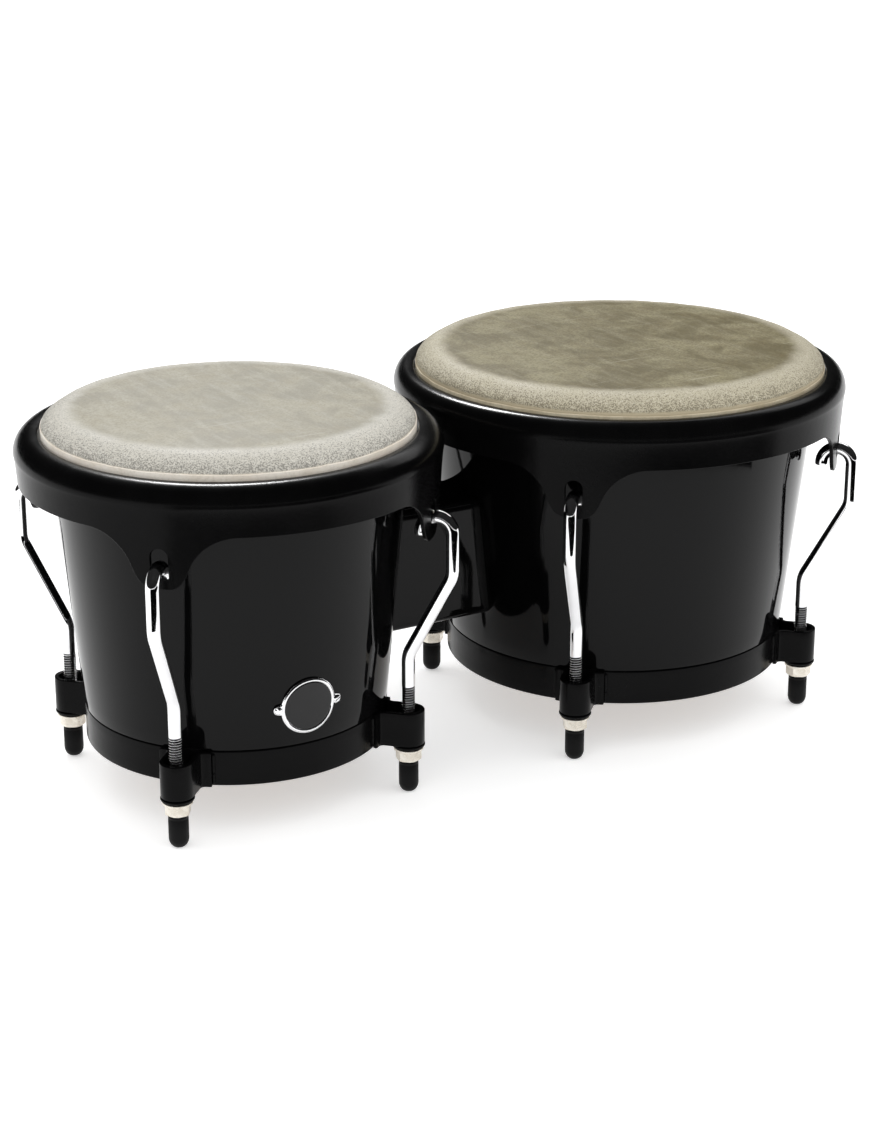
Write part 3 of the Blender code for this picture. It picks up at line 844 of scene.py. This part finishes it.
def make_rim(drum):
    rim = piece(
        f"{drum.name}_rim_band", rim_sheet(drum), "satin", f"{drum.name}_rim",
        [f"{drum.name}_rim"], at=drum.axis, sharp=180,
    )
    flip_outward(rim)
    plate = rim.modifiers.new("plate", "SOLIDIFY")
    plate.thickness = RIM_PLATE
    plate.offset = -1.0
    plate.use_even_offset = True
    edges = rim.modifiers.new("edges", "BEVEL")
    edges.width = 0.00045
    edges.segments = 2
    edges.limit_method = "ANGLE"
    edges.angle_limit = radians(40)
    edges.harden_normals = True


def flip_outward(obj):
    """Turns an open sheet's faces so that they look away from the drum's axis."""
    work = bmesh.new()
    work.from_mesh(obj.data)
    if sum(face.normal.xy.dot(face.calc_center_median().xy) for face in work.faces) < 0:
        bmesh.ops.reverse_faces(work, faces=work.faces)
    work.to_mesh(obj.data)
    work.free()


# ---- Bottom rings and ears ----


def make_ring(drum):
    inside = drum.foot - RING_PLATE
    flange = drum.foot - FLANGE
    corners = [
        (flange, RING_Z, 0.0005), (drum.foot, RING_Z, 0.0010), (drum.foot, RING_TOP, 0.0006),
        (inside, RING_TOP, 0.0004), (inside, RING_Z + RING_PLATE, 0.0003),
        (flange, RING_Z + RING_PLATE, 0.0005),
    ]
    piece(
        f"{drum.name}_ring_band", turned(subdivided(fillet(corners, 4), 0.004)), "satin", "root",
        [f"{drum.name}_bottom_ring"], at=drum.axis, sharp=50,
    )


def ear_line(drum):
    """Middle of the ear's strap seen from above, +X away from the drum's axis."""
    middle = EAR_INSIDE + EAR_PLATE / 2
    reach = drum.foot + EAR_PLATE / 2 - 0.00015
    bend = 0.0032
    tip = middle + bend + 0.0022
    line = []
    for step in range(3):
        y = tip + (middle + bend - tip) * step / 3
        line.append((sqrt(reach**2 - y**2), y))
    start = sqrt(reach**2 - (middle + bend) ** 2) + bend
    for turn in sweep(0, 90, 8):
        line.append((start - bend * cos(turn), middle + bend - bend * sin(turn)))
    line.append(((start + drum.rods) / 2, middle))
    for turn in sweep(90, 0, 12):
        line.append((drum.rods + middle * cos(turn), middle * sin(turn)))
    return line + [(x, -y) for x, y in reversed(line[:-1])]


def weld_bead(drum, angle, sign, y):
    """An uneven bead of weld up the ring's face, beside one end of the ear's strap."""
    x = sqrt(drum.foot**2 - y**2)
    last = 26
    rows = []
    for step in range(last + 1):
        z = RING_Z + 0.0012 + (RING_TOP - RING_Z - 0.0020) * step / last
        swell = 0.00085 + 0.00035 * noise.noise(Vector((angle * 5, sign * 3.0, z * 900)))
        swell *= 0.35 if step in (0, last) else 1.0
        rows.append(around(swell, 12, x, y, z))
    return loft(rows, False)


def make_ear(drum, number, angle):
    line = ear_line(drum)
    half = EAR_PLATE / 2
    corners = [(-half, RING_Z), (half, RING_Z), (half, RING_TOP), (-half, RING_TOP)]
    section = fillet([(u, z, 0.0005) for u, z in corners], 3)
    narrow = [(u * 0.8, RING_Z + (z - RING_Z) * 0.985 + 0.0001) for u, z in section]
    rows = []
    for index, (x, y) in enumerate(line):
        before, after = line[max(index - 1, 0)], line[min(index + 1, len(line) - 1)]
        along = Vector((after[0] - before[0], after[1] - before[1])).normalized()
        outline = narrow if index in (0, len(line) - 1) else section
        rows.append([Vector((x + along.y * u, y - along.x * u, z)) for u, z in outline])
    beads = [weld_bead(drum, angle, sign, sign * (line[0][1] + 0.0005)) for sign in (1, -1)]
    piece(
        f"{drum.name}_ear_strap_{number}", joined(loft(rows, False), *beads), "satin", "root",
        [f"{drum.name}_ear_{number}"], at=drum.axis, rotation=(0, 0, angle),
        sharp=50,
    )


# ---- Fittings on the rods ----

ON_HEX = 1.0
CORNER_CUT = 1.142


def hexagon(flats, low, start, slope):
    """A shape for turned(): the radius ON_HEX turns into a hexagon, chamfered at its low end."""
    half = flats / 2

    def shape(turn, radius, z):
        if radius != ON_HEX:
            return radius, z
        corner = min(half * start + (z - low) * slope, half * CORNER_CUT)
        return min(half / cos(remainder(turn, pi / 3)), corner), z

    return shape


def rod_spot(drum, angle, z=0.0):
    return drum.x + drum.rods * cos(angle), drum.rods * sin(angle), z


def make_nut(drum, number, angle):
    flange_low = NUT_HEIGHT - 0.0013
    bore = 0.0034
    heights = (0.0001, 0.0003, 0.0006, 0.0010, flange_low - 0.0004, flange_low - 0.0001)
    profile = [
        (bore + 0.0004, 0.0), (NUT_FLATS / 2 * 0.93, 0.0), *((ON_HEX, z) for z in heights),
        (NUT_FLANGE - 0.0004, flange_low), (NUT_FLANGE - 0.0001, flange_low + 0.0002),
        (NUT_FLANGE, flange_low + 0.0005), (NUT_FLANGE, NUT_HEIGHT - 0.0004),
        (NUT_FLANGE - 0.0001, NUT_HEIGHT - 0.0001), (NUT_FLANGE - 0.0004, NUT_HEIGHT),
        (bore + 0.0004, NUT_HEIGHT), (bore, NUT_HEIGHT - 0.0004), (bore, 0.0004),
    ]
    piece(
        f"{drum.name}_nut_body_{number}",
        turned(profile, 96, shape=hexagon(NUT_FLATS, 0.0, 1.02, 1 / 0.58)), "nickel",
        f"{drum.name}_nut_{number}", [f"{drum.name}_nut_{number}"],
        at=rod_spot(drum, angle, NUT_Z),
        rotation=(0, 0, radians(drum.nut_turn + NUT_STEP * number)), sharp=28,
    )


def make_cup_washer(drum, number, angle):
    bore = 0.0035
    top = CUP_Z + CUP_HEIGHT
    corners = [
        (bore, CUP_Z, 0.0002), (CUP_RADIUS - 0.0010, CUP_Z, 0.0005),
        (CUP_RADIUS, CUP_Z + 0.0008, 0.0005), (CUP_RADIUS, top, 0.0003), (bore, top, 0.0002),
    ]
    piece(
        f"{drum.name}_cup_{number}", turned(fillet(corners, 4), 64), "satin", "root",
        [f"{drum.name}_cup_washer_{number}"], at=rod_spot(drum, angle), sharp=50,
    )


def make_tip(drum, number, angle):
    groove = TIP_RADIUS - 0.00012
    profile = [(0.0, 0.0), (0.0012, 0.0)]
    for turn in sweep(0, 90, 12)[1:]:
        profile.append((TIP_RADIUS * (0.25 + 0.75 * sin(turn)), 0.0046 * (1 - cos(turn))))
    profile += [
        (TIP_RADIUS, 0.0080), (TIP_RADIUS, TIP_TOP - 0.0022), (groove, TIP_TOP - 0.0020),
        (groove, TIP_TOP - 0.0016), (TIP_RADIUS, TIP_TOP - 0.0014),
        (TIP_RADIUS, TIP_TOP - 0.0006), (TIP_RADIUS - 0.0002, TIP_TOP - 0.0002),
        (TIP_RADIUS - 0.0005, TIP_TOP), (ROD + GAP, TIP_TOP), (ROD + GAP, ROD_END_Z - GAP),
        (0.0, ROD_END_Z - GAP),
    ]
    piece(
        f"{drum.name}_tip_{number}", turned(profile, 48, closed=False), "rubber",
        f"{drum.name}_rim", [f"{drum.name}_foot_tip_{number}"],
        at=rod_spot(drum, angle), sharp=40,
    )


# ---- Tension hooks ----


def rounded_corner(before, corner, after, steps=18):
    back = (before - corner).normalized()
    ahead = (after - corner).normalized()
    half = back.angle(ahead) / 2
    centre = corner + (back + ahead).normalized() * (BEND / sin(half))
    start = (corner + back * (BEND / tan(half)) - centre).normalized()
    end = (corner + ahead * (BEND / tan(half)) - centre).normalized()
    return [centre + start.slerp(end, step / steps) * BEND for step in range(steps + 1)]


def thread_depth(turn, z):
    """How far the surface of a right-hand thread lies under the rod's own, and 0 off the thread."""
    phase = (z / PITCH - turn / (tau)) % 1.0
    slope = abs(2 * phase - 1)
    root, flank = 0.14, 0.72
    groove = 1 - min(max((slope - root) / flank, 0.0), 1.0)
    fade = min(max((THREAD_TOP - z) / (1.5 * PITCH), 0.0), 1.0)
    fade *= min(max((z - THREAD_LOW) / (TIP_TOP - THREAD_LOW), 0.0), 1.0)
    return THREAD_DEPTH * groove * fade


def hook_route(drum):
    """Middle line of a hook from the rod's end up the thread, out, over the arch and down."""
    outer = drum.rods + HOOK_OFFSET
    foot = Vector((drum.rods, 0, ROD_END_Z))
    low = Vector((drum.rods, 0, BEND_LOW_Z))
    high = Vector((outer, 0, BEND_HIGH_Z))
    top = Vector((outer, 0, ARCH_Z))
    middle = Vector((outer - ARCH, 0, ARCH_Z))
    route = [Vector((drum.rods, 0, ROD_END_Z + ROD_CAP))]
    for step in range(THREAD_STEPS + 1):
        z = THREAD_LOW + (THREAD_TOP - THREAD_LOW) * step / THREAD_STEPS
        route.append(Vector((drum.rods, 0, z)))
    route += rounded_corner(foot, low, high)
    route += rounded_corner(low, high, top)
    route += [middle + ARCH * Vector((cos(turn), 0, sin(turn))) for turn in sweep(0, 180, 32)]
    route.append(route[-1] - Vector((0, 0, SHORT_LEG - ROD_CAP)))
    return route


def cap_rings(ring, spot):
    """Two rings below a ring round spot, which round off a rod's end. Both ends of a hook look down."""
    return [
        [spot + (corner - spot) * share - Vector((0, 0, drop)) for corner in ring]
        for share, drop in ((0.93, 0.00035), (0.80, ROD_CAP))
    ]


def make_hook(drum, number, angle):
    route = hook_route(drum)
    rings = []
    for index, spot in enumerate(route):
        before, after = route[max(index - 1, 0)], route[min(index + 1, len(route) - 1)]
        along = (after - before).normalized()
        across = Vector((along.z, 0, -along.x))
        ring = []
        for turn in whole_turn(28):
            radius = ROD - thread_depth(turn, spot.z)
            ring.append(spot + radius * (across * cos(turn) + Vector((0, sin(turn), 0))))
        rings.append(ring)
    start = cap_rings(rings[0], route[0])
    end = cap_rings(rings[-1], route[-1])
    hook = piece(
        f"{drum.name}_hook_rod_{number}", loft([*reversed(start), *rings, *end], False), "chrome",
        f"{drum.name}_rim", [f"{drum.name}_hook_{number}"], at=drum.axis,
        rotation=(0, 0, angle), sharp=55,
    )
    hook.data.materials.append(looks[f"{drum.name}_thread"])
    for face in hook.data.polygons:
        face.material_index = int(THREAD_LOW < face.center.z < THREAD_TOP)


# ---- Centre block and bolts ----


def make_block():
    half_y, half_z = BLOCK_WIDTH / 2, BLOCK_HEIGHT / 2
    corners = [(-half_y, -half_z), (half_y, -half_z), (half_y, half_z), (-half_y, half_z)]
    outline = subdivided(fillet([(y, z, 0.0030) for y, z in corners], 8), 0.003)

    def ends(y, z):
        reaches = [sqrt((shell_radius(drum, z) + GAP) ** 2 - y**2) for drum in DRUMS]
        return SMALL.x + reaches[0], LARGE.x - reaches[1]

    def section(inset, share):
        row = []
        for y, up in outline:
            y, z = y * inset, BLOCK_Z + up * inset
            start, end = ends(y, z)
            row.append(Vector((start + (end - start) * share, y, z)))
        return row

    first, last = ends(0, BLOCK_Z)
    rows = [[Vector((first, 0, BLOCK_Z))], section(0.93, 0.0)]
    rows += [section(1.0, share) for share in (0.0, 0.04, 0.5, 0.96, 1.0)]
    rows += [section(0.93, 1.0), [Vector((last, 0, BLOCK_Z))]]
    piece("block_body", loft(rows, False), "lacquer", "root", ["centre_block"], sharp=30)


def make_bolt(drum, number, z):
    """Hexagon bolt with a flange, made pointing up and then laid along X."""
    low = -0.0059
    profile = [
        (0.0, low), (BOLT_FLATS / 2 * 0.94, low),
        *((ON_HEX, -0.0058 + 0.0003 * step) for step in range(4)), (ON_HEX, -0.0018),
        (0.0066, -0.0017), (0.0070, -0.0014), (0.0070, -0.0005), (0.0068, -0.0003),
        (0.0030, -0.0003), (0.0030, 0.0290), (0.0022, 0.0300), (0.0, 0.0300),
    ]
    seat = shell_radius(drum, z) - WALL + 0.0012
    piece(
        f"{drum.name}_bolt_{number}",
        turned(profile, 48, closed=False, shape=hexagon(BOLT_FLATS, low, 1.03, 1.7)), "zinc",
        "root", [f"{drum.name}_block_bolt_{number}"],
        at=(drum.x + drum.side * seat, 0, z), rotation=(0, drum.side * pi / 2, 0), sharp=28,
    )


# ---- Badge ----


def on_wall(sideways, up, lift):
    """A point over the small shell's wall, lift away from it, seen from the badge's middle."""
    z = BADGE_Z + up
    turn = radians(270) + sideways / shell_radius(SMALL, z)
    reach = shell_radius(SMALL, z) + lift
    return Vector((reach * cos(turn), reach * sin(turn), z))


def badge_edge(inset, lift):
    """A row of points round the badge's outline, which is a disc with a lug on either side."""
    row = []
    for turn in whole_turn(128):
        along, side = BADGE_LUG_REACH * abs(cos(turn)), BADGE_LUG_REACH * abs(sin(turn))
        lug = along + sqrt(BADGE_LUG**2 - side**2) if side < BADGE_LUG else 0.0
        reach = max(BADGE_DISC, lug) - inset
        row.append(on_wall(reach * cos(turn), reach * sin(turn), lift))
    return row


def badge_circle(radius, lift):
    turns = whole_turn(128) if radius else [0.0]
    return [on_wall(radius * cos(turn), radius * sin(turn), lift) for turn in turns]


def badge_rows(steps):
    return [badge_circle(radius, lift) for radius, lift in steps]


def make_badge():
    edge = ((0.0, 0.0001), (0.0, 0.0007), (0.0001, 0.0009), (0.0004, 0.0010))
    plate = badge_rows(((0.0, 0.0001), (0.0060, 0.0001)))
    plate += [badge_edge(inset, lift) for inset, lift in edge]
    plate += badge_rows(((0.0133, 0.0011), (0.0131, 0.0013), (0.0128, 0.0014), (0.0124, 0.0014)))
    plate += badge_rows(((0.0121, 0.0012), (0.0119, 0.0009), (0.0055, 0.0009), (0.0, 0.0009)))
    enamel = badge_rows(((0.0, 0.00085), (0.0050, 0.00085), (0.0117, 0.00085), (0.01185, 0.0010)))
    enamel += badge_rows(((0.0117, 0.0011), (0.0112, 0.00115), (0.0050, 0.0012), (0.0, 0.0012)))
    middle = SMALL.axis
    piece("badge_plate", loft(plate, False), "chrome", "root", ["badge"], at=middle, sharp=40)
    piece("badge_enamel", loft(enamel, False), "enamel", "root", at=middle, sharp=40)
    make_badge_screw(1, -1, 35)
    make_badge_screw(2, 1, 118)


def make_badge_screw(number, sign, slot_turn):
    profile = [(0.0, -0.0060), (0.0007, -0.0060), (0.0009, -0.0050), (0.0009, 0.0), (PIN_HEAD, 0.0)]
    for turn in sweep(0, 90, 6)[:-1]:
        profile.append((PIN_HEAD * cos(turn), PIN_EDGE + (PIN_HEIGHT - PIN_EDGE) * sin(turn)))
    profile.append((0.0, PIN_HEIGHT))
    centre = on_wall(sign * 0.0151, 0, 0.0010)
    screw = piece(
        f"badge_screw_{number}", turned(profile, 64, closed=False), "chrome", "root",
        [f"badge_pin_{number}"], at=(SMALL.x + centre.x, centre.y, centre.z),
        rotation=(0, pi / 2, atan2(centre.y, centre.x)), sharp=35,
    )
    cut_slot(screw, radians(slot_turn))


def cut_slot(screw, turn):
    """A screwdriver slot across the head, made in the screw's own mesh."""
    work = bmesh.new()
    work.from_mesh(screw.data)
    across = Vector((-sin(turn), cos(turn), 0))
    for sign in (-1, 1):
        faces = [f for f in work.faces if f.calc_center_median().z > PIN_EDGE]
        geometry = {*faces, *(e for f in faces for e in f.edges), *(v for f in faces for v in f.verts)}
        edge = across * PIN_SLOT * sign
        bmesh.ops.bisect_plane(work, geom=list(geometry), plane_co=edge, plane_no=across)
    middles = [(f, f.calc_center_median()) for f in work.faces]
    top = [f for f, middle in middles if middle.z > PIN_EDGE and abs(middle.dot(across)) < PIN_SLOT]
    moved = bmesh.ops.extrude_face_region(work, geom=top)
    bmesh.ops.delete(work, geom=top, context="FACES")
    for v in (g for g in moved["geom"] if isinstance(g, bmesh.types.BMVert)):
        v.co.z = PIN_HEIGHT - 0.0005
    bmesh.ops.recalc_face_normals(work, faces=work.faces)
    work.to_mesh(screw.data)
    work.free()
    screw.data.shade_smooth()
    screw.data.set_sharp_from_angle(angle=radians(35))


# ---- Assembly ----

for drum in DRUMS:
    make_shell(drum)
    make_skin(drum)
    make_hoop(drum)
    make_rim(drum)
    make_ring(drum)
    for number, angle in enumerate(ROD_ANGLES, 1):
        make_ear(drum, number, angle)
        make_cup_washer(drum, number, angle)
        make_nut(drum, number, angle)
        make_tip(drum, number, angle)
        make_hook(drum, number, angle)
    for number, z in enumerate(BOLT_Z, 1):
        make_bolt(drum, number, z)
make_block()
make_badge()

# ---- Floor, light and camera ----

CAMERA_AZIMUTH = radians(30.62)
CAMERA_ELEVATION = radians(19.46)
CAMERA_AIM = Vector((-0.0055, 0, 0.0869))
CAMERA_DISTANCE = 1.2813
CAMERA_LENS = 81.721
CAMERA_SENSOR = 36.0
DARK_STUDIO = 0.012
DARK_ZENITH = 0.0192
PALE_STUDIO = 1.06
FLOOR_GLOW = 0.45
FLOOR_RADII = (0.3, 0.8, 2.0, 5.0, 12.0, 30.0)
CARD_FROM = -26.0
CARD_TO = 75.0
CARD_STEPS = 60
CARD_NEAR = 0.375
CARD_REACH = 3.0
CARD_LIFT = 0.0006


def backdrop(name, verts, faces, look):
    """A sheet of the studio round the object, made and linked to the scene with its look."""
    mesh = bpy.data.meshes.new(name)
    mesh.from_pydata([tuple(v) for v in verts], [], faces)
    mesh.materials.append(look.material)
    made = placed(name, mesh)
    return made


def make_floor():
    look = Look("pale_floor", Roughness=1.0, Specular_IOR_Level=0.0, Emission_Strength=FLOOR_GLOW)
    cloud = look.noise(1.5, 2.0, 0.5)
    look.wire(look.mix(cloud, (0.925, 0.925, 0.925), (0.935, 0.935, 0.935)))
    verts, faces = loft([[Vector((0, 0, 0))], *(around(radius, 96) for radius in FLOOR_RADII)], False)
    backdrop("floor", verts, faces[:-1], look)


def make_world():
    """Pale to the camera and to diffuse light, and nearly black to reflections."""
    world = bpy.data.worlds.new("studio")
    bpy.context.scene.world = world
    world.use_nodes = True
    tree = world.node_tree
    background = tree.nodes["Background"]
    direction = tree.nodes.new("ShaderNodeTexCoord").outputs["Generated"]
    split = tree.nodes.new("ShaderNodeSeparateXYZ")
    tree.links.new(direction, split.inputs[0])
    sky = tree.nodes.new("ShaderNodeMapRange")
    tree.links.new(split.outputs["Z"], sky.inputs[0])
    sky.inputs["To Min"].default_value = DARK_STUDIO
    sky.inputs["To Max"].default_value = DARK_ZENITH
    rays = tree.nodes.new("ShaderNodeLightPath")
    mix = tree.nodes.new("ShaderNodeMix")
    mix.data_type = "RGBA"
    tree.links.new(rays.outputs["Is Glossy Ray"], mix.inputs[0])
    mix.inputs[6].default_value = (PALE_STUDIO, PALE_STUDIO, PALE_STUDIO, 1)
    tree.links.new(sky.outputs[0], mix.inputs[7])
    tree.links.new(mix.outputs[2], background.inputs["Color"])


def make_card():
    """A black card just above the floor, seen by glossy rays only, that keeps the rims dark.

    Its near edge is two arcs, each round one drum's axis and on that drum's half of the floor.
    """
    look = Look("black_card", Roughness=1.0, Specular_IOR_Level=0.0)
    look.wire(look.mix(look.noise(3.0), (0.001, 0.001, 0.001), (0.002, 0.002, 0.002)))
    toward = 270 - degrees(CAMERA_AZIMUTH)
    turns = sweep(toward + CARD_FROM, toward + CARD_TO, CARD_STEPS)
    lines = [Vector((cos(turn), sin(turn), 0)) for turn in turns]
    near = []
    for drum in DRUMS:
        arc = [Vector((drum.x, 0, 0)) + line * CARD_NEAR for line in lines]
        near += [spot for spot in arc if spot.x * drum.x > 0]
    far = [lines[round(k * CARD_STEPS / (len(near) - 1))] * CARD_REACH for k in range(len(near))]
    lift = Vector((0, 0, CARD_LIFT))
    count = len(near)
    faces = [(k, k + 1, count + k + 1, count + k) for k in range(count - 1)]
    card = backdrop("black_card", [spot + lift for spot in near + far], faces, look)
    card.visible_camera = False
    card.visible_diffuse = False
    card.visible_shadow = False
    card.visible_transmission = False


def soft_light(name, spot, target, width, depth, watts, diffuse=True, glossy=True):
    data = bpy.data.lights.new(name, "AREA")
    data.shape = "RECTANGLE"
    data.size = width
    data.size_y = depth
    data.energy = watts
    lamp = placed(name, data)
    lamp.location = spot
    lamp.rotation_euler = (Vector(target) - Vector(spot)).to_track_quat("-Z", "Y").to_euler()
    lamp.visible_diffuse = diffuse
    lamp.visible_glossy = glossy


def make_camera():
    data = bpy.data.cameras.new("camera")
    data.sensor_fit = "AUTO"
    data.sensor_width = CAMERA_SENSOR
    data.lens = CAMERA_LENS
    data.clip_start = 0.05
    data.clip_end = 100.0
    camera = placed("camera", data)
    level = cos(CAMERA_ELEVATION)
    along = (sin(CAMERA_AZIMUTH) * level, cos(CAMERA_AZIMUTH) * level)
    forward = Vector((*along, -sin(CAMERA_ELEVATION)))
    camera.location = CAMERA_AIM - forward * CAMERA_DISTANCE
    camera.rotation_euler = forward.to_track_quat("-Z", "Y").to_euler()
    bpy.context.scene.camera = camera


make_floor()
make_world()
make_card()
soft_light("overhead", (0.15, 0.35, 1.25), (0, 0, 0.1), 1.5, 0.9, 3.5, glossy=False)
soft_light("crown_box", (0.30, 0.95, 1.09), (0, 0, 0.1), 0.30, 0.34, 27.0, diffuse=False)
soft_light("crown_strip", (0.95, 0.62, 1.05), (0, 0, 0.1), 1.2, 0.45, 4.0, diffuse=False)
make_camera()
bpy.context.scene.view_settings.view_transform = "Standard"
